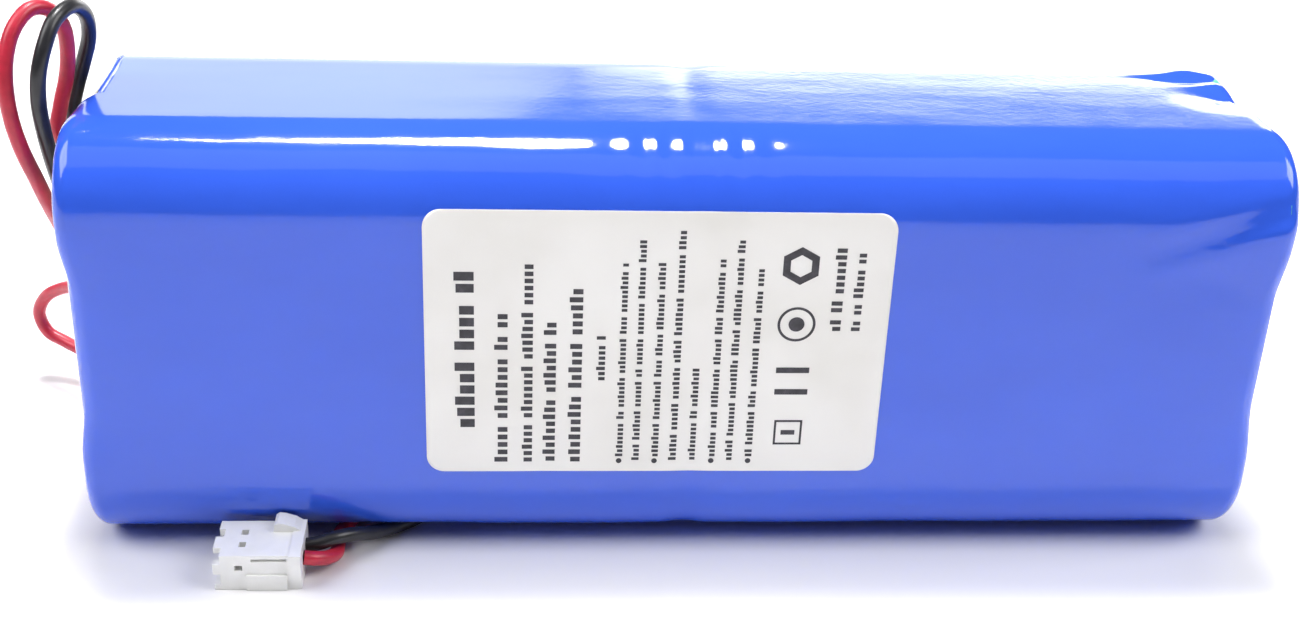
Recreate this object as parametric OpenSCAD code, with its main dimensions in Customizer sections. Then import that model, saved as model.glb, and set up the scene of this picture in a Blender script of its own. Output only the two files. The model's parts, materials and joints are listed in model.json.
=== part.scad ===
// Battery pack: nine round cells in two end-to-end columns, three in parallel and three in series,
// held in a heat-shrink sleeve, with a protection board, two output leads and a two-way plug.
// X runs along the pack, Y from the label face (front, -Y) to the back, Z up. Z = 0 is the resting plane.

/* [Cells] */
// Outer diameter of one cell with its own jacket, mm
cell_d = 18.4; // [18:0.1:18.6]
// Length of one cell, terminals included, mm
cell_len = 65; // [64:0.1:65.2]
// Distance between the axes of touching cells, mm
cell_pitch = 18.5; // [18.5:0.05:18.8]
// Thickness of a cell's own jacket, mm
jacket_wall = 0.1; // [0.08:0.01:0.15]

/* [Sleeve] */
// Wall of the shrink sleeve, mm
sleeve_wall = 0.3; // [0.2:0.05:0.4]
// Room past the cells at the left end, where the leads rise, mm
left_room = 3.4; // [3.4:0.1:4]
// Room past the cells at the right end, mm
right_room = 1.4; // [1.4:0.1:2]
// How far the sleeve folds in over each end, mm
end_fold = 6.5; // [4:0.5:7]
// Height of the groove under the sleeve that the leads lie in, mm
groove_h = 2.2; // [2:0.1:2.4]

/* [Label] */
// Width of the rating label along the pack, mm
label_w = 51.8; // [40:0.1:60]
// Height of the rating label, mm
label_h = 32.6; // [24:0.1:33]
// Thickness of the rating label, mm
label_t = 0.15; // [0.1:0.01:0.2]
// Where the label's centre lies along the pack, mm from the middle
label_x = -3.3; // [-8:0.1:8]
// Height of the label's centre above the resting plane, mm
label_z = 27.9; // [25:0.1:28]

/* [Wiring] */
// Outer diameter of an output lead, mm
lead_d = 1.7; // [1.4:0.1:1.9]
// Outer diameter of an inside wire, mm
wire_d = 1.3; // [1:0.1:1.5]
// Width of a nickel strip, mm
strip_w = 7; // [6:0.5:8]
// Thickness of a nickel strip, mm
strip_t = 0.2; // [0.15:0.05:0.2]

/* [Board] */
// Length of the protection board, mm
board_len = 50; // [40:1:54]
// Width of the protection board, mm
board_w = 14; // [12:0.5:14.5]
// Thickness of the protection board, mm
board_t = 1; // [0.8:0.1:1.2]

/* [Plug] */
// Plug body: length from mating face to wire face, mm
plug_len = 9.8; // [9:0.1:11]
// Plug body: width across the two ways, mm
plug_w = 7.2; // [7:0.1:7.4]
// Plug body: height without its tab, mm
plug_h = 4.5; // [4.3:0.1:5]
// Distance between the two ways, mm
plug_pitch = 2.5; // [2.5:0.01:2.54]

/* [Hidden] */
$fn = 64;
eps = 0.01;

// The cross-section is two rows of two cells with one more nested between them.
cell_r = cell_d / 2;
can_r = cell_r - jacket_wall;
nest = cell_pitch * sin(60);
corner_r = cell_r + sleeve_wall;
pack_h = 2 * nest + 2 * corner_r;
pack_t = cell_pitch + 2 * corner_r;
mid_z = pack_h / 2;
side_y = cell_pitch / 2;
low_z = corner_r;
high_z = corner_r + 2 * nest;
front_y = -pack_t / 2;

// Along the pack: the joint between the columns, the cells, the strips and the end insulators.
mid_gap = 1.8;
joint_x = (left_room - right_room) / 2;
pack_half = mid_gap / 2 + cell_len + (left_room + right_room) / 2;
left_in = joint_x - mid_gap / 2;
left_out = left_in - cell_len;
right_in = joint_x + mid_gap / 2;
right_out = right_in + cell_len;
insulator_t = 0.25;
insulator_x = pack_half - sleeve_wall - 0.65;

// One cell, measured along its axis from the flat end.
crimp_x = cell_len - 0.7;
seat_x = cell_len - 2.1;
cap_plate_x = cell_len - 1.1;
cap_boss_r = 4;
gasket_r = 8.2;
cap_r = 7.4;
neck_x = cell_len - 5;
neck_w = 1;
neck_depth = 0.5;

// Each cell: column (-1 left, 1 right), Y, Z, and 1 where its cap points along +X.
// The left column's lower front place holds the protection board.
CELLS = [[-1, -side_y, high_z, 1], [-1, side_y, high_z, 1], [-1, 0, mid_z, 1],
    [-1, side_y, low_z, -1], [1, -side_y, low_z, 1], [1, side_y, low_z, 1],
    [1, -side_y, high_z, -1], [1, side_y, high_z, -1], [1, 0, mid_z, -1]];

// The groove that the leads lie in, under the left column.
groove_y0 = -4.5;
groove_y1 = 2.8;
groove_x1 = -24;
pocket_x0 = -46;

// The board lies on foam in the free place.
foam_x0 = -63;
foam_x1 = -4;
foam_top = 7.4;
board_x = -33;
board_y = -9.4;
board_z = foam_top + 0.05;
board_top = board_z + board_t;

// The plug lies beside the sleeve's lower front edge.
plug_x1 = -43.2;
plug_y = -21.9;
plug_way_z = 2.7;
plug_wall = 0.8;
way_w = 1.7;
way_h = 2.1;

// The window in the left insulator that the leads leave by, and the notch in the sleeve over it.
window_y = 2.6;
window_z = 41.6;
window_h = 5;
notch_y0 = -2.8;
notch_y1 = 7;
notch_x = -66;
notch_z = 43;

// The leads' routes, from the left end insulator to the plug, mm.
BLACK_ROUTE = [[-67.6, 1.3, 42], [-69.1, 1.4, 44.3], [-69.9, 1.5, 47], [-69.2, 1.8, 50], [-68.2, 2, 53],
    [-67.1, 1.4, 56.3], [-66.7, -0.6, 59.4], [-67.2, -3.8, 61.4], [-68.4, -7, 60.8], [-69.3, -9, 58.4],
    [-70, -9.8, 55.6], [-70.4, -9.6, 52.6], [-70.6, -8.6, 49.6], [-70.7, -7, 46], [-70.7, -5, 42],
    [-70.5, -2.5, 37], [-70.3, 0, 31], [-70.1, 1.8, 25], [-70, 2.8, 19], [-70.1, 3, 13],
    [-70.2, 2.7, 8.2], [-69.6, 2.1, 4.4], [-67.8, 1.6, 1.9], [-65, 1.4, 1], [-60, 1.4, 0.9], [-50, 1.4, 0.9],
    [-40, 1.4, 0.9], [-34, 1.2, 0.9], [-29.4, -0.8, 0.9], [-27.4, -4.8, 0.9], [-28.4, -9, 0.9],
    [-31, -12.2, 0.9], [-33.8, -14.7, 1.1], [-36, -16.8, 1.8], [-38, -18.6, 2.8], [-39.9, -19.9, 3.2],
    [-41.6, -20.5, 2.9], [plug_x1, -20.65, 2.7]];
RED_ROUTE = [[-67.6, -1.3, 41], [-69.5, -1.4, 43.2], [-70.9, -1.6, 46], [-70.4, -1.2, 49], [-69.5, -0.8, 52.3],
    [-69, -1, 55.5], [-69, -1.8, 58.6], [-70, -3.2, 60.8], [-71.6, -5, 61.2], [-73, -7, 59.4],
    [-73.7, -8.4, 56.5], [-73.8, -9.2, 53.3], [-73.5, -9.5, 50], [-72.9, -9.2, 46.6], [-72.2, -8, 43],
    [-71.9, -6, 39.5], [-72, -2, 35], [-72.4, 3, 30], [-73, 9, 24], [-74, 14.5, 19.4], [-76, 19, 16.4],
    [-79.2, 22.8, 14.5], [-82.3, 25, 12.2], [-83.9, 26, 9.2], [-83, 25.8, 6.4], [-80.5, 24.8, 5.3],
    [-77.5, 22.8, 4.6], [-74.8, 19.2, 3.2], [-73.2, 14, 1.6], [-72.8, 9, 0.9], [-72.6, 5, 0.9], [-71.6, 1.4, 0.9],
    [-69.6, -0.8, 0.9], [-66.5, -1.4, 0.9], [-60, -1.4, 0.9], [-50, -1.4, 0.9], [-44, -1.4, 0.9],
    [-39.6, -2.2, 0.9], [-36.6, -4.8, 0.9], [-36.4, -8.6, 0.9], [-38.4, -12, 0.9], [-39.8, -15.4, 0.9],
    [-39.8, -18.4, 1], [-39.9, -20.2, 1.2], [-40.7, -21.9, 1.8], [-42, -22.9, 2.4], [plug_x1, -23.15, 2.7]];
route_steps = 2;
lead_sides = 8;

// ---- points along a smooth route, and the tube that follows it ----

// A point between b and c of the smooth curve through a, b, c and d.
function smooth_point(a, b, c, d, t) =
    0.5 * (2 * b + (c - a) * t + (2 * a - 5 * b + 4 * c - d) * t * t + (3 * b - a - 3 * c + d) * t * t * t);
function route_point(r, i) = r[max(0, min(len(r) - 1, i))];
function smooth_route(r, n) = concat(
    [for (i = [0:len(r) - 2], k = [0:n - 1])
        smooth_point(route_point(r, i - 1), r[i], r[i + 1], route_point(r, i + 2), k / n)],
    [r[len(r) - 1]]);
function unit(v) = v / norm(v);
function heading(p, i) = unit(p[min(i + 1, len(p) - 1)] - p[max(i - 1, 0)]);
// The side direction of each ring, carried along the route without twist.
function carried(side, h) = unit(side - h * (side * h));
function sides_along(p, i, side, done) =
    i == len(p) ? done :
    let (next = carried(side, heading(p, i))) sides_along(p, i + 1, next, concat(done, [next]));
module tube_along(route, d) {
    p = smooth_route(route, route_steps);
    across = sides_along(p, 0, [0, 1, 0.3], []);
    n = lead_sides;
    rings = [for (i = [0:len(p) - 1], k = [0:n - 1])
        let (h = heading(p, i), u = across[i], w = cross(h, u), a = 360 * k / n)
        p[i] + d / 2 * (cos(a) * u + sin(a) * w)];
    walls = [for (i = [0:len(p) - 2], k = [0:n - 1])
        [i * n + k, (i + 1) * n + k, (i + 1) * n + (k + 1) % n, i * n + (k + 1) % n]];
    last = (len(p) - 1) * n;
    polyhedron(concat(rings), concat(walls,
        [[for (k = [0:n - 1]) k]], [[for (k = [n - 1:-1:0]) last + k]]), convexity = 6);
}

// ---- shared shapes ----

// Turns a shape drawn in X, Y to stand in Y, Z, with its thickness along +X.
module stand(x) { translate([x, 0, 0]) rotate([90, 0, 90]) children(); }

// The pack's rounded outline in Y, Z, drawn in from its outside by inset.
module outline(inset) {
    r = corner_r - inset;
    translate([-side_y, low_z - r]) square([2 * side_y, 2 * nest + 2 * r]);
    translate([-side_y - r, low_z]) square([2 * side_y + 2 * r, 2 * nest]);
    for (y = [-side_y, side_y], z = [low_z, high_z]) translate([y, z]) circle(r);
}

// The space under the sleeve for the leads, grown by the wall for the sleeve's inside.
module lead_groove(grow) {
    translate([-pack_half - 1, groove_y0 - grow, -1])
        cube([groove_x1 + pack_half + 1 + grow, groove_y1 - groove_y0 + 2 * grow, groove_h + 1 + grow]);
    translate([pocket_x0 - grow, -pack_t / 2 - 1, -1])
        cube([groove_x1 - pocket_x0 + 2 * grow, pack_t / 2 + 1 + groove_y0 + eps, groove_h + 1 + grow]);
}

// Places a cell's own shape: it runs along +X from its flat end.
module at_cell(c) {
    flat_x = c[0] < 0 ? (c[3] > 0 ? left_out : left_in) : (c[3] > 0 ? right_in : right_out);
    translate([flat_x, c[1], c[2]]) rotate([0, c[3] > 0 ? 90 : -90, 0]) children();
}

// A flat bar with round ends between two points in Y, Z.
module bar(a, b, w) {
    d = b - a;
    translate(a) rotate(atan2(d[1], d[0])) translate([0, -w / 2]) square([norm(d), w]);
    translate(a) circle(w / 2);
    translate(b) circle(w / 2);
}

// A nickel strip through the given cells, with a weld slot over each.
module strip(x, links, ends) {
    stand(x) linear_extrude(strip_t) difference() {
        for (l = links) bar([CELLS[l[0]][1], CELLS[l[0]][2]], [CELLS[l[1]][1], CELLS[l[1]][2]], strip_w);
        for (e = ends) translate([CELLS[e][1], CELLS[e][2]]) square([0.8, 4.4], center = true);
    }
}

// ---- sleeve, label and insulation ----

module shrink_sleeve() color("royalblue") difference() {
    difference() {
        stand(-pack_half) linear_extrude(2 * pack_half) outline(0);
        lead_groove(0);
    }
    difference() {
        stand(-pack_half + sleeve_wall) linear_extrude(2 * (pack_half - sleeve_wall)) outline(sleeve_wall);
        lead_groove(sleeve_wall);
    }
    stand(-pack_half - 1) linear_extrude(2 * pack_half + 2) outline(end_fold);
    translate([-pack_half - 1, notch_y0, notch_z]) cube([notch_x + pack_half + 1, notch_y1 - notch_y0, pack_h]);
}

// The label follows the sleeve, so its top edge bends over the start of the rounding.
label_corner = 2;
module rating_label() color("whitesmoke") intersection() {
    stand(label_x - label_w / 2) linear_extrude(label_w) difference() {
        outline(-label_t);
        outline(0);
    }
    translate([label_x, front_y, label_z]) rotate([90, 0, 0]) linear_extrude(4, center = true) {
        square([label_w - 2 * label_corner, label_h], center = true);
        square([label_w, label_h - 2 * label_corner], center = true);
        for (x = [-1, 1], z = [-1, 1])
            translate([x * (label_w / 2 - label_corner), z * (label_h / 2 - label_corner)]) circle(label_corner);
    }
}

// A stiff paper board that keeps the sleeve flat between the outer cells.
liner_t = 0.5;
liner_h = 21;
liner_len = 108;
module liner(face_y) color("lightgray")
    translate([joint_x, face_y, mid_z]) cube([liner_len, liner_t, liner_h], center = true);
module front_liner() liner(front_y + sleeve_wall + liner_t / 2 + 0.05);
module back_liner() liner(-front_y - sleeve_wall - liner_t / 2 - 0.05);

module end_insulator(x) color("gainsboro") difference() {
    stand(x) linear_extrude(insulator_t) outline(sleeve_wall + 1.4);
    lead_groove(sleeve_wall + 0.1);
    if (x < 0) translate([x, 0, window_z]) cube([3, 2 * window_y, window_h], center = true);
}
module left_end_insulator() end_insulator(-insulator_x);
module right_end_insulator() end_insulator(insulator_x - insulator_t);
link_w = 6;
tail_w = 5;
positive_tail = [-12.5, 20];
first_tail = [-5, 15];
module middle_insulator() color("gainsboro") difference() {
    stand(joint_x - insulator_t / 2) linear_extrude(insulator_t) outline(sleeve_wall + 0.2);
    translate([joint_x, 0, low_z]) cube([2, link_w + 0.4, strip_t + 0.4], center = true);
    translate([joint_x, positive_tail[0], positive_tail[1]]) cube([2, tail_w + 0.4, strip_t + 0.4], center = true);
}

// ---- cells ----

module cell_can(c) color("silver") at_cell(c) difference() {
    cylinder(h = crimp_x, r = can_r);
    translate([0, 0, seat_x]) cylinder(h = cell_len, r = gasket_r);
    translate([0, 0, neck_x]) difference() {
        cylinder(h = neck_w, r = can_r + 1);
        translate([0, 0, -1]) cylinder(h = neck_w + 2, r = can_r - neck_depth);
    }
}
module cell_jacket(c) color("mediumaquamarine") at_cell(c) difference() {
    cylinder(h = crimp_x, r = cell_r);
    translate([0, 0, -1]) cylinder(h = cell_len, r = can_r);
}
module cell_cap(c) color("gainsboro") at_cell(c) {
    translate([0, 0, seat_x]) cylinder(h = cap_plate_x - seat_x, r = cap_r);
    translate([0, 0, cap_plate_x - eps]) cylinder(h = cell_len - cap_plate_x + eps, r = cap_boss_r);
}
module cell_gasket(c) color("dimgray") at_cell(c) translate([0, 0, seat_x]) difference() {
    cylinder(h = crimp_x - seat_x, r = gasket_r);
    translate([0, 0, -1]) cylinder(h = cell_len, r = cap_r);
}
module cell_washer(c) color("white") at_cell(c) translate([0, 0, crimp_x]) difference() {
    cylinder(h = 0.2, r = can_r - 0.3);
    translate([0, 0, -1]) cylinder(h = 3, r = cap_boss_r + 0.3);
}
module cell_gaskets() for (c = CELLS) cell_gasket(c);
module cell_washers() for (c = CELLS) cell_washer(c);

// Hot-melt beads in the valleys between the centre cell and the outer ones.
module glue_beads() color("ivory")
    for (x = [-50, -18, 18, 50], y = [-11.6, 11.6])
        translate([x, y, mid_z]) rotate([0, 90, 0]) cylinder(h = 9, d = 4, center = true);

// ---- nickel strips ----

// A tail of a strip that leaves its plane and lies along X at a point in Y, Z.
module tail(from, at, x, x_end) {
    stand(x) linear_extrude(strip_t) bar(from, at, tail_w);
    translate([min(x, x_end), at[0] - tail_w / 2, at[1] - strip_t / 2])
        cube([abs(x_end - x) + strip_t, tail_w, strip_t]);
}
// The same with its flat end upright, facing the back.
module upright_tail(from, at, x, x_end) {
    stand(x) linear_extrude(strip_t) bar(from, at, tail_w);
    translate([min(x, x_end), at[0] - strip_t / 2, at[1] - tail_w / 2])
        cube([abs(x_end - x) + strip_t, strip_t, tail_w]);
}
function place(i) = [CELLS[i][1], CELLS[i][2]];
link_at = [14.4, 25.5];
link_left_at = [14.4, 22];
link_tab = 6;
module negative_strip() color("silver") strip(left_out - strip_t, [[0, 1], [0, 2], [1, 2]], [0, 1, 2]);
module first_series_strip() color("silver") {
    strip(left_in, [[0, 1], [0, 2], [1, 2], [2, 3]], [0, 1, 2, 3]);
    strip(right_in - strip_t, [[4, 5]], [4, 5]);
    translate([joint_x, 0, low_z]) cube([mid_gap, link_w, strip_t], center = true);
    stand(left_in) linear_extrude(strip_t) bar([0, low_z], place(3), strip_w);
    tail(place(2), first_tail, left_in, -4);
}
module second_series_strip() color("silver") {
    strip(right_out, [[6, 7], [6, 8], [7, 8], [8, 4], [8, 5], [4, 5]], [4, 5, 6, 7, 8]);
    upright_tail(place(8), link_at, right_out, right_out - link_tab);
}
module second_series_tab() color("silver") {
    stand(left_out - strip_t) linear_extrude(strip_t) difference() {
        bar(place(3) + [0, -1.5], place(3) + [0, 3], strip_w);
        translate(place(3)) square([0.8, 4.4], center = true);
    }
    upright_tail(place(3) + [0, 3], link_left_at, left_out - strip_t, left_out + link_tab);
}
module positive_strip() color("silver") {
    strip(right_in - strip_t, [[6, 7], [6, 8], [7, 8]], [6, 7, 8]);
    tail(place(8), positive_tail, right_in - strip_t, -4);
}

// ---- protection board ----

module board_foam() color("darkslategray") difference() {
    stand(foam_x0) linear_extrude(foam_x1 - foam_x0) intersection() {
        translate([-side_y, low_z]) circle(cell_r - 0.1);
        translate([-side_y - cell_r, 0]) square([2 * cell_r, foam_top]);
    }
    lead_groove(sleeve_wall + 0.1);
}
module protection_board() color("seagreen")
    translate([board_x - board_len / 2, board_y - board_w / 2, board_z]) cube([board_len, board_w, board_t]);
module board_transistors() color("dimgray")
    for (x = [-15, -8, 8, 15]) translate([board_x + x, board_y - 2.6, board_top]) {
        translate([-2.5, -2, 0.1]) cube([5, 4, 1.5]);
        for (k = [0:3], s = [-1, 1])
            translate([-1.9 + 1.27 * k - 0.2, s * 2.5 - 0.55, 0]) cube([0.4, 1.1, 0.25]);
    }
module board_chips() color("black")
    for (x = [-1, 20]) translate([board_x + x, board_y + 3, board_top]) {
        translate([-1.5, -1.1, 0.1]) cube([3, 2.2, 1]);
        for (k = [0:2], s = [-1, 1])
            translate([-1.1 + 0.95 * k - 0.15, s * 1.4 - 0.4, 0]) cube([0.3, 0.8, 0.2]);
    }
module board_resistors() color("tan")
    for (x = [-12, -8.5, -5, 4, 7.5, 11, 14.5])
        translate([board_x + x - 0.8, board_y + 2.2, board_top]) cube([1.6, 0.8, 0.5]);
// Pads: four at the lead end of the board and two at its joint end, as distances from its centre.
PADS = [[-22, -5.2], [-22, -1.9], [-22, 1.4], [-22, 4.6], [22, -4.5], [22, 4.6]];
pad_h = 0.5;
module board_pads() color("silver")
    for (p = PADS) translate([board_x + p[0], board_y + p[1], board_top])
        cylinder(h = pad_h, r1 = 1.2, r2 = 0.8, $fn = 32);

// ---- inside wires ----

wire_z = board_top + pad_h + wire_d / 2;
lead_z = board_top + pad_h + lead_d / 2;
// Just clear of the nickel on the cells' left ends.
rise_x = left_out - strip_t - wire_d / 2;
lead_rise_x = -66.15;
pad_x0 = board_x - 21;
pad_x1 = board_x + 21;
module negative_wire() color("black") tube_along([[rise_x, 2.5, 23], [rise_x, 1, 18], [rise_x, -2, 13.5],
    [-64, -5, 11.5], [-60, -7.5, 10.2], [-57, -8, wire_z], [pad_x0, -8, wire_z]], wire_d);
module positive_wire() color("red") tube_along([[-2, -12.5, 20.8], [-5, -12.8, 20], [-7.5, -13.4, 16.5],
    [-8.6, -13.8, 12.5], [-10, -13.9, 10.2], [pad_x1, -13.9, wire_z]], wire_d);
module first_tap_wire() color("gold") tube_along([[-1.5, -5, 14.2], [-5, -5, 13.8], [-7.5, -4.9, 11.8],
    [-9.5, -4.8, wire_z + 0.4], [pad_x1, -4.8, wire_z]], wire_d);
module second_tap_wire() color("gold") tube_along([[rise_x, 8, 11], [rise_x, 4, 10.6], [rise_x, 0.5, 10.2],
    [-64.4, -2.2, 10], [-61, -4, 9.8], [-57, -4.8, wire_z], [pad_x0, -4.8, wire_z]], wire_d);
module series_link_wire() color("gold") tube_along([[-60, 15.2, 22], [-54, 15.2, 22.4], [-44, 15.2, 25],
    [40, 15.2, 25.5], [54, 15.2, 25.5], [64, 15.2, 25.5]], wire_d);
module black_lead_inside() color("black") tube_along([[pad_x0, -11.3, lead_z], [-58, -11.2, lead_z],
    [-62, -10.4, 10.4], [-65, -8.6, 12.6], [lead_rise_x, -6.5, 16.5], [lead_rise_x, -3.2, 24],
    [lead_rise_x, 0, 32], [lead_rise_x, 1.2, 37], [-66.5, 1.3, 39.8], BLACK_ROUTE[0]], lead_d);
module red_lead_inside() color("firebrick") tube_along([[pad_x0, -14.6, lead_z], [-58, -14.5, lead_z],
    [-62, -14, 10.4], [-65, -12.6, 12.6], [lead_rise_x, -11, 16.5], [lead_rise_x, -7, 24],
    [lead_rise_x, -3.2, 31], [lead_rise_x, -1.6, 36], [-66.5, -1.3, 38.8], RED_ROUTE[0]], lead_d);

// ---- output leads and plug ----

module black_lead() color("black") tube_along(BLACK_ROUTE, lead_d);
module red_lead() color("firebrick") tube_along(RED_ROUTE, lead_d);

// The plug's mating end has teeth, its wire end a collar, and its back edge a raised tab.
tooth = 0.7;
plug_x0 = plug_x1 - plug_len;
plug_front = plug_y - plug_w / 2;
plug_back = plug_y + plug_w / 2;
module plug_housing() color("white") difference() {
    union() {
        translate([plug_x0 + tooth, plug_front, 0]) cube([plug_len - tooth, plug_w, plug_h]);
        // Teeth on the mating end: two on the top wall, one on each side, and the floor.
        translate([plug_x0, plug_back - 1.7, plug_h - 1.1]) cube([2, 1.7, 1.1]);
        translate([plug_x0 - 0.2, plug_y - 1.9, plug_h - 1.1]) cube([2, 2.3, 1.1]);
        translate([plug_x0 - 0.1, plug_front, 2]) cube([2, 0.9, 1.4]);
        translate([plug_x0, plug_back - 0.9, 1]) cube([2, 0.9, 1.6]);
        translate([plug_x0, plug_front, 0]) cube([2, plug_w, 0.7]);
        // Collar round the wire end, open below.
        translate([plug_x1 - 1.3, plug_front - 0.5, 1.5]) cube([1.3, plug_w + 0.5, plug_h - 1.3]);
        // Tab: a ramp that falls towards the wires.
        translate([plug_x1, plug_back, 0]) rotate([90, 0, 0]) linear_extrude(2.4) polygon([[-3.7, plug_h - 0.5],
            [-3.5, plug_h + 0.9], [-3.1, plug_h + 1.2], [-2.4, plug_h + 1.1], [-1.2, plug_h + 0.7],
            [-0.3, plug_h + 0.1], [0, plug_h - 0.5]]);
        // Rail along the front side.
        translate([plug_x0 + 3.6, plug_front - 0.3, 0]) cube([plug_len - 5.2, 0.6, 2]);
    }
    // Wire ways, right through, square at the mating end and round for the wires.
    for (s = [-1, 1]) translate([plug_x0 - 1, plug_y + s * plug_pitch / 2 - way_w / 2, plug_way_z - way_h / 2])
        cube([plug_len - 1, way_w, way_h]);
    for (s = [-1, 1]) translate([plug_x1 - 3, plug_y + s * plug_pitch / 2, plug_way_z])
        rotate([0, 90, 0]) cylinder(h = 4, d = lead_d + 0.1, $fn = 32);
    // Mouth between the walls, at the mating end.
    translate([plug_x0 - 1, plug_front + 0.9, 0.7]) cube([2.6, plug_w - 1.8, plug_h - 1.8]);
    // Windows over the contacts and in the front side.
    for (y = [plug_y - 1.25, plug_y + 1.25]) translate([plug_x0 + 2.6, y - 0.5, plug_way_z]) cube([0.8, 1, plug_h]);
    translate([plug_x0 + 2.3, plug_front - 1, 2.5]) cube([0.9, 2.2, 0.7]);
    // Groove along the front edge of the top.
    translate([plug_x0 + 4.2, plug_front - 1, plug_h - 0.85]) cube([4, 1.4, 0.4]);
}
module plug_contacts() color("gold")
    for (s = [-1, 1]) translate([plug_x0 + 1.2, plug_y + s * plug_pitch / 2 - 0.75, plug_way_z - 0.8])
        difference() {
            cube([5.4, 1.5, 1.6]);
            translate([-1, 0.35, 0.4]) cube([4.5, 0.8, 0.8]);
        }

shrink_sleeve();
rating_label();
front_liner();
back_liner();
left_end_insulator();
right_end_insulator();
middle_insulator();
for (i = [0:len(CELLS) - 1]) {
    cell_can(CELLS[i]);
    cell_jacket(CELLS[i]);
    cell_cap(CELLS[i]);
}
cell_gaskets();
cell_washers();
glue_beads();
negative_strip();
first_series_strip();
second_series_strip();
second_series_tab();
positive_strip();
board_foam();
protection_board();
board_transistors();
board_chips();
board_resistors();
board_pads();
negative_wire();
positive_wire();
first_tap_wire();
second_tap_wire();
series_link_wire();
black_lead_inside();
red_lead_inside();
black_lead();
red_lead();
plug_housing();
plug_contacts();
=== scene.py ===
"""Looks of the battery pack: film sleeve, label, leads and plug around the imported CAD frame."""

import json
import math
import random

import bpy
from mathutils import Matrix, Vector, noise


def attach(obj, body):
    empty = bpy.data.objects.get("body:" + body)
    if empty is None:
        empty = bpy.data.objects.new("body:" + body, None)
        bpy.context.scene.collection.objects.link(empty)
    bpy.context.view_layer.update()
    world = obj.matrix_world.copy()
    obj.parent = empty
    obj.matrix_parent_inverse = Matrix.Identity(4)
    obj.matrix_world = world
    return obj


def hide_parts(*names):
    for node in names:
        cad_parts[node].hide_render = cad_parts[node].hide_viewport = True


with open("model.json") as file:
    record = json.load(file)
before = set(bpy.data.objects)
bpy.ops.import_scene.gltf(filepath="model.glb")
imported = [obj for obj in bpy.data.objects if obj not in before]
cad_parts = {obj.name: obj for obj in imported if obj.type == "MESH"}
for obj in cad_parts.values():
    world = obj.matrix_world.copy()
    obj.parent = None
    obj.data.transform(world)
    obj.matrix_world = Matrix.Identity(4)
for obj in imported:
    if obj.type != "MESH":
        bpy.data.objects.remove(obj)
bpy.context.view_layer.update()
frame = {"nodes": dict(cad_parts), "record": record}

# Sizes below are in millimetres, as in part.scad; mesh builders scale them to metres.
MM = 0.001
SIDE_Y = 9.25
LOW_Z = 9.5
HIGH_Z = 41.54
CORNER = 9.5
PACK_H = 51.04
HALF = 68.3
JOINT_X = 1.0
SLEEVE_WALL = 0.3
LEAD_D = 1.7
FLOOR_Z = -0.05


def smooth(lo, hi, v):
    """0 below lo, 1 above hi, and an S between."""
    t = min(1.0, max(0.0, (v - lo) / (hi - lo)))
    return t * t * (3 - 2 * t)


def bell(v, centre, width):
    return math.exp(-(((v - centre) / width) ** 2))


# ---- camera ----

CAMERA_AT = (-18.388, -192.380, 119.132)
CAMERA_TURNS = (-0.0849, 0.46207, -0.04355)
SENSOR_WIDTH = 36
FOCAL_PER_WIDTH = 1755.5 / 1312


def make_camera():
    cy, sy, cp, sp, cr, sr = (f(a) for a in CAMERA_TURNS for f in (math.cos, math.sin))
    turn = Matrix(((cy, -sy, 0), (sy, cy, 0), (0, 0, 1)))
    dip = Matrix(((1, 0, 0), (0, cp, sp), (0, -sp, cp)))
    tilt = Matrix(((cr, 0, sr), (0, 1, 0), (-sr, 0, cr)))
    m = turn @ dip @ tilt
    right, ahead, up = (m.col[i] for i in range(3))
    place = Matrix.Translation(Vector(CAMERA_AT) * MM)
    data = bpy.data.cameras.new("camera")
    data.sensor_width = SENSOR_WIDTH
    data.lens = SENSOR_WIDTH * FOCAL_PER_WIDTH
    data.clip_start, data.clip_end = 0.01, 20
    cam = bpy.data.objects.new("camera", data)
    bpy.context.scene.collection.objects.link(cam)
    cam.matrix_world = place @ Matrix((right, up, -ahead)).transposed().to_4x4()
    bpy.context.scene.camera = cam


# ---- materials ----

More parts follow.
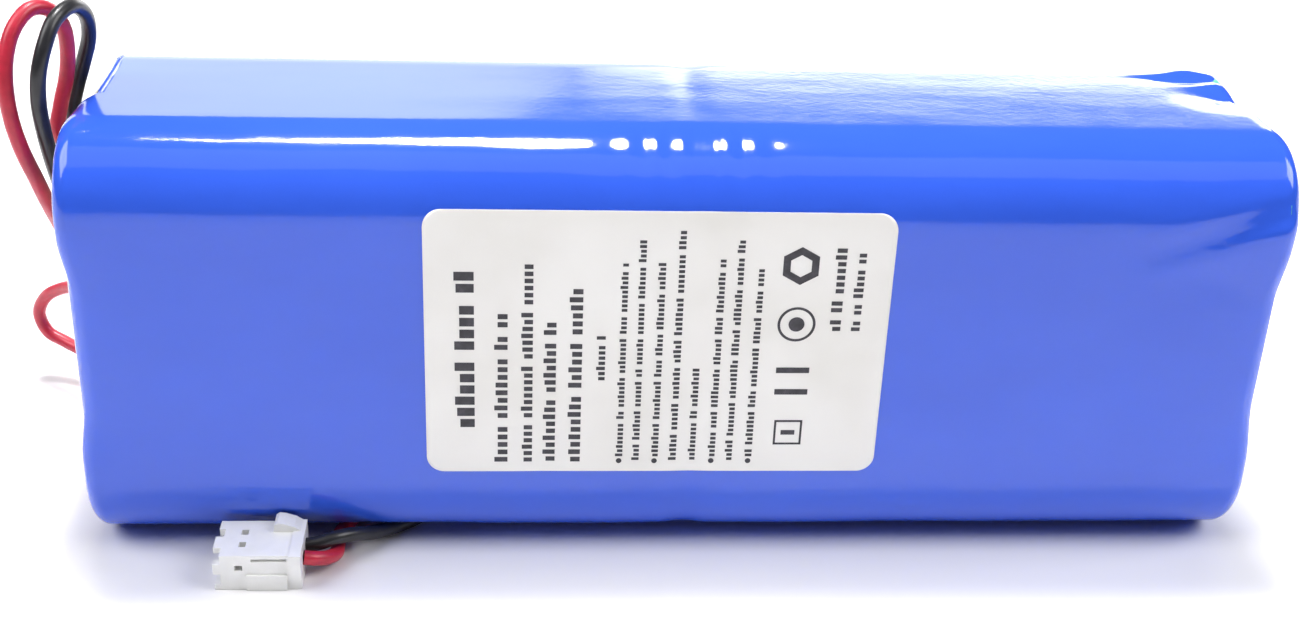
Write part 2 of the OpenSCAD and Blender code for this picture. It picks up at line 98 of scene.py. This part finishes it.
class Look:
    """A Principled material with its node helpers."""

    def __init__(self, name, **values):
        self.mat = bpy.data.materials.new(name)
        self.mat.use_nodes = True
        self.tree = self.mat.node_tree
        self.shader = self.tree.nodes["Principled BSDF"]
        for key, value in values.items():
            self.shader.inputs[key.replace("_", " ")].default_value = value
        self.coords = self.tree.nodes.new("ShaderNodeTexCoord").outputs["Object"]

    def node(self, kind, settings=(), **inputs):
        made = self.tree.nodes.new(kind)
        for key, value in dict(settings).items():
            setattr(made, key, value)
        for key, value in inputs.items():
            socket = made.inputs[key.replace("_", " ")]
            if isinstance(value, bpy.types.NodeSocket):
                self.tree.links.new(value, socket)
            else:
                socket.default_value = value
        return made

    def noise(self, scale, detail=3.0, stretch=(1, 1, 1), rough=0.5):
        moved = self.node("ShaderNodeMapping", Vector=self.coords, Scale=stretch)
        made = self.node("ShaderNodeTexNoise", Vector=moved.outputs[0], Scale=scale,
                         Detail=detail, Roughness=rough)
        return made.outputs["Fac"]

    def tint(self, fac, stops):
        """Base colour from a ramp over a 0..1 value."""
        ramp = self.node("ShaderNodeValToRGB", Fac=fac)
        elements = ramp.color_ramp.elements
        while len(elements) < len(stops):
            elements.new(0.5)
        for element, (at, colour) in zip(elements, stops):
            element.position = at
            element.color = (*colour, 1)
        self.tree.links.new(ramp.outputs[0], self.shader.inputs["Base Color"])

    def rough(self, fac, low, high):
        ranged = self.node("ShaderNodeMapRange", Value=fac, To_Min=low, To_Max=high)
        self.tree.links.new(ranged.outputs[0], self.shader.inputs["Roughness"])

    def bump(self, fac, distance, strength=1.0, under=None):
        extra = {"Normal": under} if under is not None else {}
        made = self.node("ShaderNodeBump", Height=fac, Distance=distance, Strength=strength, **extra)
        self.tree.links.new(made.outputs[0], self.shader.inputs["Normal"])
        return made.outputs[0]


def shades(colour, spread):
    """Ramp stops round a colour, darker and lighter by spread."""
    return [(at, tuple(min(1.0, c * k) for c in colour))
            for at, k in ((0.3, 1 - spread), (0.5, 1.0), (0.7, 1 + spread))]


def film_look():
    look = Look("blue_film", IOR=1.5, Coat_Weight=0.2, Coat_Roughness=0.05)
    look.tint(look.noise(38, 4, (0.5, 1, 1)), [(0.3, (0.032, 0.104, 0.69)), (0.5, (0.036, 0.115, 0.74)),
                                              (0.7, (0.042, 0.128, 0.79))])
    look.rough(look.noise(260, 3), 0.07, 0.14)
    broad = look.bump(look.noise(75, 2, (0.3, 1, 1)), 0.00008)
    look.bump(look.noise(1500, 2), 0.000008, 1.0, broad)
    return look.mat


def label_look():
    look = Look("label_stock", IOR=1.46, Coat_Weight=0.12, Coat_Roughness=0.25)
    look.tint(look.noise(55, 3), [(0.35, (0.80, 0.785, 0.745)), (0.5, (0.845, 0.83, 0.80)),
                                  (0.7, (0.875, 0.865, 0.84))])
    look.rough(look.noise(400, 2), 0.38, 0.5)
    broad = look.bump(look.noise(45, 2), 0.00012)
    look.bump(look.noise(2600, 3), 0.00001, 1.0, broad)
    return look.mat


def ink_look():
    look = Look("label_ink", IOR=1.45)
    look.tint(look.noise(900, 3), [(0.3, (0.028, 0.026, 0.032)), (0.55, (0.045, 0.042, 0.052)),
                                   (0.75, (0.075, 0.07, 0.085))])
    look.rough(look.noise(1200, 2), 0.4, 0.6)
    look.bump(look.noise(3000, 2), 0.000004)
    return look.mat


def plain_look(name, colour, spread, rough, scale, bump, metal=0.0, stretch=(1, 1, 1), coat=0.0):
    """Moulded, printed or drawn stock: tone variation, roughness variation and a fine relief."""
    look = Look(name, Metallic=metal, Coat_Weight=coat, Coat_Roughness=0.12)
    look.tint(look.noise(scale, 4, stretch), shades(colour, spread))
    look.rough(look.noise(scale * 2.3, 3, stretch), *rough)
    look.bump(look.noise(scale * 4, 3, stretch), bump)
    return look.mat


# Slot: colour, tone spread, roughness range, noise scale, relief in metres, metallic, stretch, coat.
STOCK = {
    "liner_board": ((0.52, 0.50, 0.45), 0.12, (0.75, 0.95), 500, 0.00003, 0.0, (1, 1, 1), 0.0),
    "barley_paper": ((0.62, 0.60, 0.52), 0.16, (0.7, 0.9), 350, 0.00004, 0.0, (1, 2, 0.6), 0.0),
    "can_steel": ((0.62, 0.62, 0.64), 0.08, (0.22, 0.38), 220, 0.000006, 1.0, (0.3, 3, 3), 0.0),
    "cell_jacket": ((0.12, 0.46, 0.36), 0.08, (0.22, 0.34), 180, 0.00001, 0.0, (0.4, 1, 1), 0.25),
    "gasket": ((0.02, 0.02, 0.022), 0.25, (0.5, 0.7), 900, 0.00001, 0.0, (1, 1, 1), 0.0),
    "washer_paper": ((0.78, 0.77, 0.73), 0.08, (0.75, 0.9), 900, 0.00002, 0.0, (1, 1, 1), 0.0),
    "hot_melt": ((0.72, 0.66, 0.50), 0.1, (0.25, 0.45), 260, 0.00008, 0.0, (1, 1, 1), 0.3),
    "nickel": ((0.68, 0.66, 0.60), 0.08, (0.2, 0.36), 320, 0.000005, 1.0, (1, 1, 5), 0.0),
    "foam": ((0.024, 0.026, 0.028), 0.35, (0.85, 1.0), 1400, 0.00012, 0.0, (1, 1, 1), 0.0),
    "board_green": ((0.012, 0.11, 0.045), 0.2, (0.3, 0.42), 420, 0.00001, 0.0, (1, 1, 1), 0.4),
    "chip_black": ((0.016, 0.016, 0.018), 0.25, (0.5, 0.68), 1600, 0.000012, 0.0, (1, 1, 1), 0.0),
    "resistor": ((0.30, 0.22, 0.13), 0.3, (0.4, 0.6), 1200, 0.00001, 0.0, (1, 1, 1), 0.0),
    "solder": ((0.56, 0.57, 0.60), 0.12, (0.18, 0.4), 900, 0.00002, 1.0, (1, 1, 1), 0.0),
    "wire_black": ((0.014, 0.014, 0.017), 0.25, (0.3, 0.44), 700, 0.00001, 0.0, (1, 1, 1), 0.12),
    "wire_red": ((0.52, 0.022, 0.05), 0.12, (0.3, 0.44), 700, 0.00001, 0.0, (1, 1, 1), 0.12),
    "wire_yellow": ((0.66, 0.44, 0.03), 0.12, (0.3, 0.44), 700, 0.00001, 0.0, (1, 1, 1), 0.12),
    "plug_nylon": ((0.87, 0.87, 0.855), 0.03, (0.32, 0.45), 600, 0.000012, 0.0, (1, 1, 1), 0.1),
    "contact_tin": ((0.66, 0.64, 0.58), 0.1, (0.25, 0.4), 700, 0.000006, 1.0, (4, 1, 1), 0.0),
}


def add_piece(name, verts, faces, mat, scale=MM):
    """A mesh piece with smooth faces that rides on the pack's one body."""
    mesh = bpy.data.meshes.new(name)
    mesh.from_pydata([[c * scale for c in v] for v in verts], [], faces)
    mesh.validate()
    mesh.polygons.foreach_set("use_smooth", [True] * len(mesh.polygons))
    mesh.materials.append(mat)
    obj = bpy.data.objects.new(name, mesh)
    bpy.context.scene.collection.objects.link(obj)
    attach(obj, "root")
    return obj


# ---- leads ----

BLACK_ROUTE = [
    (-67.6, 1.3, 42), (-69.1, 1.4, 44.3), (-69.9, 1.5, 47), (-69.2, 1.8, 50), (-68.2, 2, 53),
    (-67.1, 1.4, 56.3), (-66.7, -0.6, 59.4), (-67.2, -3.8, 61.4), (-68.4, -7, 60.8), (-69.3, -9, 58.4),
    (-70, -9.8, 55.6), (-70.4, -9.6, 52.6), (-70.6, -8.6, 49.6), (-70.7, -7, 46), (-70.7, -5, 42),
    (-70.5, -2.5, 37), (-70.3, 0, 31), (-70.1, 1.8, 25), (-70, 2.8, 19), (-70.1, 3, 13),
    (-70.2, 2.7, 8.2), (-69.6, 2.1, 4.4), (-67.8, 1.6, 1.9), (-65, 1.4, 1), (-60, 1.4, 0.9),
    (-50, 1.4, 0.9), (-40, 1.4, 0.9), (-34, 1.2, 0.9), (-29.4, -0.8, 0.9), (-27.4, -4.8, 0.9),
    (-28.4, -9, 0.9), (-31, -12.2, 0.9), (-33.8, -14.7, 1.1), (-36, -16.8, 1.8), (-38, -18.6, 2.8),
    (-39.9, -19.9, 3.2), (-41.6, -20.5, 2.9), (-43.2, -20.65, 2.7)]
RED_ROUTE = [
    (-67.6, -1.3, 41), (-69.5, -1.4, 43.2), (-70.9, -1.6, 46), (-70.4, -1.2, 49), (-69.5, -0.8, 52.3),
    (-69, -1, 55.5), (-69, -1.8, 58.6), (-70, -3.2, 60.8), (-71.6, -5, 61.2), (-73, -7, 59.4),
    (-73.7, -8.4, 56.5), (-73.8, -9.2, 53.3), (-73.5, -9.5, 50), (-72.9, -9.2, 46.6), (-72.2, -8, 43),
    (-71.9, -6, 39.5), (-72, -2, 35), (-72.4, 3, 30), (-73, 9, 24), (-74, 14.5, 19.4), (-76, 19, 16.4),
    (-79.2, 22.8, 14.5), (-82.3, 25, 12.2), (-83.9, 26, 9.2), (-83, 25.8, 6.4), (-80.5, 24.8, 5.3),
    (-77.5, 22.8, 4.6), (-74.8, 19.2, 3.2), (-73.2, 14, 1.6), (-72.8, 9, 0.9), (-72.6, 5, 0.9),
    (-71.6, 1.4, 0.9), (-69.6, -0.8, 0.9), (-66.5, -1.4, 0.9), (-60, -1.4, 0.9), (-50, -1.4, 0.9),
    (-44, -1.4, 0.9), (-39.6, -2.2, 0.9), (-36.6, -4.8, 0.9), (-36.4, -8.6, 0.9), (-38.4, -12, 0.9),
    (-39.8, -15.4, 0.9), (-39.8, -18.4, 1), (-39.9, -20.2, 1.2), (-40.7, -21.9, 1.8), (-42, -22.9, 2.4),
    (-43.2, -23.15, 2.7)]


def smooth_route(route, steps):
    """Points along the smooth curve through the route's points."""
    points = [Vector(p) for p in route]
    found = []
    for i in range(len(points) - 1):
        a, b = points[max(0, i - 1)], points[i]
        c, d = points[i + 1], points[min(len(points) - 1, i + 2)]
        for k in range(steps):
            t = k / steps
            found.append(0.5 * (2 * b + (c - a) * t + (2 * a - 5 * b + 4 * c - d) * t * t
                                + (3 * b - a - 3 * c + d) * t ** 3))
    return found + [points[-1]]


def make_lead(name, node, route, mat):
    points = smooth_route(route, 5)
    data = bpy.data.curves.new(name, "CURVE")
    data.dimensions = "3D"
    data.bevel_depth = LEAD_D / 2 * MM
    data.bevel_resolution = 5
    data.use_fill_caps = True
    spline = data.splines.new("POLY")
    spline.points.add(len(points) - 1)
    for at, p in zip(spline.points, points):
        at.co = (*(p * MM), 1)
    spline.use_smooth = True
    data.materials.append(mat)
    obj = bpy.data.objects.new(name, data)
    bpy.context.scene.collection.objects.link(obj)
    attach(obj, "root")
    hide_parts(node)
    return obj


# ---- sleeve ----

def outline_points():
    """The cross-section, once round from the bottom's middle towards the back: y, z and outward normal."""
    flat_bottom = [(y, 0.0, 0, -1) for y in (0.46 * i for i in range(1, 20))]
    ring = []

    def arc(cy, cz, start, count):
        for i in range(count + 1):
            a = math.radians(start + 90 * i / count)
            ring.append((cy + CORNER * math.cos(a), cz + CORNER * math.sin(a), math.cos(a), math.sin(a)))

    ring.append((0.0, 0.0, 0, -1))
    ring.extend(flat_bottom)
    arc(SIDE_Y, LOW_Z, -90, 24)
    tall = HIGH_Z - LOW_Z
    ring.extend((SIDE_Y + CORNER, LOW_Z + tall * i / 20, 1, 0) for i in range(1, 20))
    arc(SIDE_Y, HIGH_Z, 0, 24)
    ring.extend((SIDE_Y - 2 * SIDE_Y * i / 30, PACK_H, 0, 1) for i in range(1, 30))
    arc(-SIDE_Y, HIGH_Z, 90, 34)
    ring.extend((-SIDE_Y - CORNER, HIGH_Z - tall * i / 32, -1, 0) for i in range(1, 32))
    arc(-SIDE_Y, LOW_Z, 180, 30)
    ring.extend((-y, 0.0, 0, -1) for y, _, _, _ in reversed(flat_bottom))
    return ring


# Small dimples in the film over the joint between the columns: place along the pack, width, depth.
JOINT_DIMPLES = [(-8.5, 1.5, 0.1), (-5.2, 1.1, 0.2), (-2.2, 1.0, 0.26), (1.6, 1.2, 0.3), (5.6, 0.9, 0.22),
                 (8.8, 1.3, 0.12)]


# What lies behind the film: the cells' outer radius with their room, and the liners' reach and room.
BEHIND_R = 9.2
BEHIND_ROOM = 0.24
LINER_HALF_LENGTH = 56
LINER_HALF_HEIGHT = 12.5
LINER_ROOM = 0.3


def film_room(x, y, z):
    """How far the film can sink before it meets what lies behind it, in mm."""
    if abs(x - JOINT_X) < LINER_HALF_LENGTH and abs(z - PACK_H / 2) < LINER_HALF_HEIGHT:
        return LINER_ROOM
    beyond_y = abs(y) > SIDE_Y
    beyond_z = not LOW_Z <= z <= HIGH_Z
    from_axis = 0.0
    if beyond_y and not beyond_z:
        from_axis = min(z - LOW_Z, HIGH_Z - z)
    elif beyond_z and not beyond_y:
        from_axis = SIDE_Y - abs(y)
    return BEHIND_ROOM + (BEHIND_R - math.sqrt(BEHIND_R ** 2 - min(from_axis, BEHIND_R - 0.2) ** 2))


def film_relief(x, y, z, ny, nz):
    """How far the film stands proud (+) or sinks (-) along its normal, in mm."""
    taut = 1 - 0.95 * smooth(0.9, 1, nz)
    lift = 0.07 * taut * noise.noise(Vector((x * 0.07, y * 0.09, z * 0.09)))
    lift += 0.028 * taut * noise.noise(Vector((x * 0.24 + 9, y * 0.3, z * 0.3)))
    rounding = math.sqrt(abs(ny * nz)) if ny * nz else 0.0
    # The joint between the two columns of cells.
    lift -= (0.1 + 0.22 * rounding) * bell(x, JOINT_X, 1.8)
    if nz > 0.1 and ny < -0.05:
        up = bell(math.degrees(math.atan2(nz, -ny)), 60, 24)
        lift -= up * sum(depth * bell(x + 0.06 * (z - 48), at, wide) for at, wide, depth in JOINT_DIMPLES)
    # Between the upper and lower cells the film is drawn in towards both ends.
    waist = smooth(9, 18, z) * (1 - smooth(33, 42, z)) * abs(ny)
    lift -= 0.75 * waist * (bell(x, HALF, 5.5) + bell(x, -HALF, 5.0))
    # Folds at the right end: two humps with a crease between, and a slanting fold over the front.
    if nz > 0.4:
        lift += 0.45 * bell(x, 63.4, 2.4) * bell(y, 11.6, 2.6)
        lift += 0.4 * bell(x, 65.6, 1.7) * bell(y, 5.2, 2.0)
        lift -= 0.8 * bell(x, 62.8, 4.2) * bell(y, 8.0, 1.1)
        lift -= 0.55 * bell(x, 66, 4) * bell(y, 1.5, 3.0)
    if ny < -0.05 and z > 30:
        fold = 40.4 + 0.34 * (x - 54)
        reach = smooth(46, 58, x) * (1 - 0.5 * smooth(66, 68.5, x))
        lift -= 0.42 * reach * bell(z, fold, 1.3)
        lift += 0.2 * reach * bell(z, fold - 2.6, 1.5)
        lift -= 0.25 * smooth(52, 60, x) * bell(z, 36 - 0.5 * (x - 60), 1.6) * (1 - smooth(66, 68, x))
    return max(lift, -film_room(x, y, z))


def end_pull(y, z, ny, nz, side):
    """How far the film's end stands back from the pack's end plane, in mm."""
    waist = smooth(12, 20, z) * (1 - smooth(33, 40, z))
    back = (0.85 if side < 0 else 0.7) * waist * abs(ny)
    across = 1 - smooth(5, 12, abs(y))
    back += 0.35 * across * abs(nz) * (1 - waist)
    if side > 0 and nz > 0.3:
        back += 0.5 * smooth(-3.5, 0.5, y) * (1 - smooth(12.5, 17, y)) * nz
    return back


END_ROUND = 1.9
# The fold over an end, from its rim outwards: distance behind the end plane and inset from the outline.
END_FOLD = [(0.62, 6.7), (0.34, 6.3), (0.22, 5.6), (0.15, 4.8), (0.08, 4.0), (0.03, 3.2), (0.0, 2.5)]
END_FOLD += [(END_ROUND * (1 - math.cos(a)), END_ROUND * (1 - math.sin(a)))
             for a in (math.radians(10 * i) for i in range(0, 10))]
PUCKERS = random.Random(11)
PUCKER_WAVES = [(PUCKERS.randint(9, 40), PUCKERS.uniform(0, 6.28), PUCKERS.uniform(0.4, 1))
                for _ in range(6)]


def pucker(turn):
    """Unevenness of the shrunk edge, 0 to about 1, against the share of the way round."""
    total = sum(size * math.sin(2 * math.pi * waves * turn + phase) for waves, phase, size in PUCKER_WAVES)
    return 0.5 + 0.5 * total / sum(size for _, _, size in PUCKER_WAVES)


def notch_share(y, nz):
    """1 where the leads leave over the left end's top edge, 0 away from it."""
    return smooth(-4.6, -1.6, y) * (1 - smooth(11.5, 15.5, y)) * smooth(0.35, 0.8, nz)


def groove_height(x, y):
    """Height of the hollow pressed into the film's underside by the leads, in mm."""
    valley = smooth(-5.3, -4.3, y) * (1 - smooth(2.6, 3.3, y)) * (1 - smooth(-25, -23.4, x))
    pocket = smooth(-47, -45.6, x) * (1 - smooth(-25, -23.4, x)) * (1 - smooth(-4.6, -3.8, y))
    return 2.2 * max(valley, pocket)


def make_sleeve(mat):
    ring = outline_points()
    main = [-66.0 + 0.55 * i for i in range(10)]
    main += [-60 + 1.2 * i for i in range(41)]
    main += [-11.2 + 0.42 * i for i in range(58)]
    main += [14 + 1.3 * i for i in range(30)]
    main += [52.6 + 0.62 * i for i in range(22)]
    rows = []
    for k, (back, inset) in enumerate(END_FOLD):
        rows.append(("left", back, inset, k / (len(END_FOLD) - 1)))
    rows += [("main", x, 0.0, 0.0) for x in main]
    for k, (back, inset) in reversed(list(enumerate(END_FOLD))):
        rows.append(("right", back, inset, k / (len(END_FOLD) - 1)))
    verts, faces = [], []
    n = len(ring)
    for kind, at, inset, share in rows:
        for j, (y, z, ny, nz) in enumerate(ring):
            side = -1 if kind == "left" else 1
            if kind == "main":
                side = -1 if at < 0 else 1
                x = at
                near = 1 - smooth(0, 9, HALF - END_ROUND - abs(at))
                pull = end_pull(y, z, ny, nz, side) * near
                deep = 0.0
            else:
                loose = max(0.0, inset - 1.2) / 5.5
                edge = pucker(j / n + 0.1 * side)
                deep = inset + 1.1 * (edge - 0.5) * smooth(0.45, 1, loose)
                x = side * (HALF - at - 0.24 * edge * smooth(0.1, 0.7, loose))
                pull = min(end_pull(y, z, ny, nz, side), 0.85 - 0.45 * smooth(0, 0.3, loose))
            x -= side * pull
            lift = film_relief(x, y, z, ny, nz) * (1 - smooth(0, 2.5, deep))
            py, pz = y - ny * (deep - lift), z - nz * (deep - lift)
            if kind == "left" and nz > 0.3:
                share_in = notch_share(y, nz)
                lip = share
                lip_x = -66.0 + 0.45 * lip
                lip_z = PACK_H - 1.5 * (1 - lip) ** 1.5 + 0.25 * math.sin(math.pi * lip)
                x += (lip_x - x) * share_in
                pz += (lip_z - (PACK_H - z) - pz) * share_in
            pz = max(pz, 0.0, groove_height(x, py) if pz < 3 else 0.0)
            verts.append((x, py, pz))
    for i in range(len(rows) - 1):
        for j in range(n):
            a, b = i * n + j, i * n + (j + 1) % n
            faces.append((a, b, b + n, a + n))
    obj = add_piece("film_sleeve", verts, faces, mat)
    wall = obj.modifiers.new("wall", "SOLIDIFY")
    wall.thickness = SLEEVE_WALL * MM
    wall.offset = -1
    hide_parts("shrink_sleeve")
    return obj


# ---- label ----

LABEL_X0, LABEL_X1 = -29.2, 22.6
LABEL_LOW, LABEL_TOP = 11.6, 44.2
LABEL_CORNER = 2.0
LABEL_T = 0.15
INK_T = 0.03


def on_front(x, height, proud):
    """The point on the front film at that height along the film, standing proud by that much."""
    if height <= HIGH_Z:
        y, z, ny, nz = -SIDE_Y - CORNER, height, -1.0, 0.0
    else:
        a = (height - HIGH_Z) / CORNER
        ny, nz = -math.cos(a), math.sin(a)
        y, z = -SIDE_Y + CORNER * ny, HIGH_Z + CORNER * nz
    lift = film_relief(x, y, z, ny, nz) + proud
    return (x, y + ny * lift, z + nz * lift)


def make_label(mat):
    corner = [LABEL_CORNER * (1 - math.cos(math.radians(9 * i))) for i in range(11)]
    straight = LABEL_TOP - LABEL_LOW - 2 * LABEL_CORNER
    rows = [LABEL_LOW + rise for rise in corner]
    rows += [LABEL_LOW + LABEL_CORNER + straight * i / 30 for i in range(1, 30)]
    rows += [LABEL_TOP - rise for rise in reversed(corner)]
    across = 90
    verts, faces = [], []
    for h in rows:
        edge = min(h - LABEL_LOW, LABEL_TOP - h)
        cut = 0.0
        if edge < LABEL_CORNER:
            cut = LABEL_CORNER - math.sqrt(max(0.0, LABEL_CORNER ** 2 - (LABEL_CORNER - edge) ** 2))
        for i in range(across + 1):
            x = LABEL_X0 + cut + (LABEL_X1 - LABEL_X0 - 2 * cut) * i / across
            verts.append(on_front(x, h, LABEL_T))
    for r in range(len(rows) - 1):
        for i in range(across):
            a = r * (across + 1) + i
            faces.append((a, a + 1, a + across + 2, a + across + 1))
    obj = add_piece("label_sheet", verts, faces, mat)
    thick = obj.modifiers.new("stock", "SOLIDIFY")
    thick.thickness = LABEL_T * MM
    thick.offset = -1
    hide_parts("rating_label")
    return obj


class Print:
    """Flat printed shapes on the label, in mm from its lower left corner."""

    def __init__(self):
        self.verts, self.faces = [], []

    def shape(self, points):
        start = len(self.verts)
        self.verts += [on_front(LABEL_X0 + x, LABEL_LOW + h, LABEL_T + INK_T) for x, h in points]
        self.faces.append(tuple(range(start, start + len(points))))

    def block(self, x0, x1, h0, h1):
        self.shape([(x0, h0), (x1, h0), (x1, h1), (x0, h1)])

    def ring(self, x, h, outer, inner, sides, turn=0.0):
        """A closed band of that many sides, as four-cornered pieces."""
        for i in range(sides):
            a, b = (2 * math.pi * (i + k) / sides + turn for k in (0, 1))
            self.shape([(x + r * math.cos(t), h + r * math.sin(t))
                        for r, t in ((inner, a), (outer, a), (outer, b), (inner, b))])

    def line(self, base, cap, h0, h1, draw, heavy=0.62):
        """Greeked words up the label: plain blocks in place of letters, as tall as cap."""
        pitch = 0.66 * cap
        h = h0
        while h < h1 - pitch:
            for _ in range(draw.randint(2, 9)):
                if h > h1 - pitch:
                    break
                tall = cap * draw.choice((1, 0.74, 0.74, 0.74, 0.9))
                self.block(base - tall, base, h, h + pitch * heavy)
                h += pitch
            h += pitch * 0.85


# Small print: baseline, cap height, start and end up the label.
HEADING = (5.5, 2.2, 5.9, 26.2)
LARGE_LINES = [(9.2, 1.5, 1.3, 21.2), (12.0, 1.3, 1.3, 28.2), (14.6, 1.4, 1.4, 20.4),
               (17.5, 1.5, 1.3, 24.6)]
SHORT_WORD = (20.1, 1.0, 12.0, 18.3)
SMALL_LINES = [(22.4, 0.85, 2.0, 27.0), (24.3, 0.85, 1.5, 29.9), (26.5, 0.85, 2.0, 27.0),
               (28.6, 0.9, 1.5, 31.2), (30.8, 0.85, 1.5, 14.4), (33.1, 0.85, 2.0, 27.6),
               (35.1, 0.85, 1.5, 29.7), (37.4, 0.85, 2.0, 26.2)]
DOTTED = (0, 2, 5, 7)
SIDE_LINES = [(46.4, 1.25, 18.4, 28.9), (48.6, 1.1, 18.4, 28.7)]
MARK_X = 41.4


def make_print(mat):
    ink = Print()
    draw = random.Random(5)
    ink.line(*HEADING, draw, heavy=0.72)
    for spec in LARGE_LINES + [SHORT_WORD] + SMALL_LINES + SIDE_LINES:
        ink.line(*spec, draw)
    for i in DOTTED:
        base = SMALL_LINES[i][0]
        ink.ring(base - 0.4, 1.4, 0.33, 0.0001, 12)
    # Generic marks: a framed square, two bars, a ringed dot and a six-sided band.
    ink.ring(MARK_X, 5.2, 2.3, 1.95, 4, math.pi / 4)
    ink.block(MARK_X - 0.8, MARK_X + 0.8, 4.9, 5.5)
    ink.block(MARK_X - 1.9, MARK_X + 1.9, 10.2, 10.9)
    ink.block(MARK_X - 1.9, MARK_X + 1.9, 13.0, 13.7)
    ink.ring(MARK_X, 19.2, 2.15, 1.85, 40)
    ink.ring(MARK_X, 19.2, 0.9, 0.0001, 24)
    ink.ring(MARK_X, 26.4, 2.3, 1.35, 6, math.pi / 6)
    obj = add_piece("label_print", ink.verts, ink.faces, mat)
    obj.data.polygons.foreach_set("use_smooth", [False] * len(obj.data.polygons))
    thick = obj.modifiers.new("ink", "SOLIDIFY")
    thick.thickness = INK_T * MM
    thick.offset = -1
    return obj


# ---- stage: sizes and places in metres, power in watts ----

FLOOR_HALF = 3.0
# Name, place, point it faces, size, power and outline.
LIGHTS = [
    ("strip", (-0.13, 0.23, 1.0), (-0.03, 0, 0.03), (0.22, 0.02), 1.6, "RECTANGLE"),
    ("strip_left", (-0.118, 0.23, 1.0), (-0.03, 0, 0.03), (0.10, 0.16), 2.6, "ELLIPSE"),
    ("strip_right", (-0.03, 0.24, 1.0), (-0.03, 0, 0.03), (0.18, 0.24), 7.5, "ELLIPSE"),
    ("back_left", (-0.45, 1.5, 0.2), (-0.45, 0, 0.2), (1.31, 1.08), 7.4, "ELLIPSE"),
    ("back_right", (0.39, 1.5, 0.288), (0.39, 0, 0.288), (1.06, 0.555), 10.8, "RECTANGLE"),
    ("left_wing", (-1.05, -0.25, 1.2), (0, -0.1, 0), (1.0, 0.9), 15.8, "RECTANGLE"),
    ("right_wing", (1.3, -0.25, 1.2), (0, -0.1, 0), (1.0, 0.9), 18.5, "RECTANGLE"),
    ("overhead", (0.0, -0.4, 1.3), (0, -0.3, 0), (1.6, 0.7), 2.4, "RECTANGLE"),
]
WORLD_COLOUR = (1.0, 0.97, 1.0, 1)
WORLD_STRENGTH = 0.06


def make_stage():
    look = Look("floor_white", Roughness=0.55)
    look.tint(look.noise(3, 2), [(0.3, (0.84, 0.835, 0.85)), (0.7, (0.87, 0.865, 0.88))])
    corners = [(-1, -1), (1, -1), (1, 1), (-1, 1)]
    mesh = bpy.data.meshes.new("floor")
    mesh.from_pydata([(x * FLOOR_HALF, y * FLOOR_HALF, FLOOR_Z * MM) for x, y in corners], [], [(0, 1, 2, 3)])
    mesh.materials.append(look.mat)
    floor = bpy.data.objects.new("floor", mesh)
    bpy.context.scene.collection.objects.link(floor)


def area_light(name, at, aim, size, power, shape):
    data = bpy.data.lights.new(name, "AREA")
    data.shape = shape
    data.size, data.size_y = size
    data.energy = power
    light = bpy.data.objects.new(name, data)
    bpy.context.scene.collection.objects.link(light)
    light.location = at
    light.rotation_euler = (Vector(aim) - Vector(at)).to_track_quat("-Z", "Y").to_euler()


def make_lights():
    for row in LIGHTS:
        area_light(*row)
    world = bpy.data.worlds.new("studio")
    bpy.context.scene.world = world
    world.use_nodes = True
    background = world.node_tree.nodes["Background"]
    background.inputs["Color"].default_value = WORLD_COLOUR
    background.inputs["Strength"].default_value = WORLD_STRENGTH


# ---- plug ----

def round_plug_edges():
    housing = frame["nodes"]["plug_housing"]
    housing.modifiers.new("weld", "WELD").merge_threshold = 0.01 * MM
    edges = housing.modifiers.new("moulded_edges", "BEVEL")
    edges.width = 0.22 * MM
    edges.segments = 2
    edges.limit_method = "ANGLE"


# ---- build ----

bpy.context.scene.view_settings.view_transform = "Standard"
make_camera()
looks = {slot: plain_look(slot, *values) for slot, values in STOCK.items()}
make_lead("black_lead_cord", "black_lead", BLACK_ROUTE, looks["wire_black"])
make_lead("red_lead_cord", "red_lead", RED_ROUTE, looks["wire_red"])

make_sleeve(film_look())
make_label(label_look())
make_print(ink_look())

slot_of = {row["node"]: row["material_slot"] for row in frame["record"]["subparts"]}
for name, node in frame["nodes"].items():
    if slot_of[name] in looks:
        node.data.materials.clear()
        node.data.materials.append(looks[slot_of[name]])

round_plug_edges()
make_stage()
make_lights()
